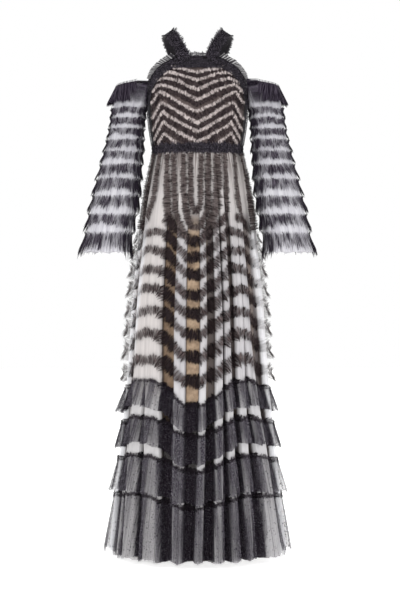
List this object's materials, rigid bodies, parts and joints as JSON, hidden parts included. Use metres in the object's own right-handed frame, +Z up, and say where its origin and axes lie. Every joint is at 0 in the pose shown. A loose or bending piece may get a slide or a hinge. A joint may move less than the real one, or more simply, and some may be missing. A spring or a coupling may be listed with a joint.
{
  "type": "tulle gown",
  "caption": "Floor-length halter gown of gathered tulle with off-the-shoulder bell sleeves, zigzag ruffles and black flounces, in the hollow form it has when worn.",
  "frame": {"origin": "midway between the two straps, at the height of their undersides where they rest on the shoulders", "axes": "+X to the right of someone facing the front, the front faces -Y, +Z up"},
  "size_m": [0.7024, 0.5398, 1.5175],
  "materials": {
    "ivory_tulle": "sheer ivory tulle",
    "black_tulle": "gathered black tulle",
    "pale_tulle": "sheer pale grey tulle",
    "nude_lining": "matte nude lining"
  },
  "bodies": {
    "root": {"bodice_front": "ivory_tulle", "bodice_back": "ivory_tulle", "skirt_front": "ivory_tulle", "skirt_back": "ivory_tulle", "yoke_front": "black_tulle", "yoke_back": "black_tulle", "neck_frill": "black_tulle", "strap_left": "black_tulle", "strap_right": "black_tulle", "waistband": "black_tulle", "upright_ruffles_front": "black_tulle", "upright_ruffles_back": "black_tulle", "skirt_ruffle_1": "black_tulle", "skirt_ruffle_2": "black_tulle", "skirt_ruffle_3": "black_tulle", "skirt_ruffle_4": "black_tulle", "skirt_ruffle_5": "black_tulle", "skirt_ruffle_6": "black_tulle", "skirt_ruffle_7": "black_tulle", "skirt_ruffle_8": "black_tulle", "tier_1": "black_tulle", "tier_2": "black_tulle", "tier_3": "black_tulle", "tier_4": "black_tulle", "sleeve_flounce_left": "black_tulle", "sleeve_flounce_right": "black_tulle", "sleeve_frill_left_01": "black_tulle", "sleeve_frill_left_02": "black_tulle", "sleeve_frill_left_03": "black_tulle", "sleeve_frill_left_04": "black_tulle", "sleeve_frill_left_05": "black_tulle", "sleeve_frill_left_06": "black_tulle", "sleeve_frill_left_07": "black_tulle", "sleeve_frill_left_08": "black_tulle", "sleeve_frill_left_09": "black_tulle", "sleeve_frill_left_10": "black_tulle", "sleeve_frill_right_01": "black_tulle", "sleeve_frill_right_02": "black_tulle", "sleeve_frill_right_03": "black_tulle", "sleeve_frill_right_04": "black_tulle", "sleeve_frill_right_05": "black_tulle", "sleeve_frill_right_06": "black_tulle", "sleeve_frill_right_07": "black_tulle", "sleeve_frill_right_08": "black_tulle", "sleeve_frill_right_09": "black_tulle", "sleeve_frill_right_10": "black_tulle", "sleeve_left": "pale_tulle", "sleeve_right": "pale_tulle", "armhole_frill_front_left": "pale_tulle", "armhole_frill_front_right": "pale_tulle", "armhole_frill_back_left": "pale_tulle", "armhole_frill_back_right": "pale_tulle", "lining": "nude_lining"}
  },
  "joints": []
}
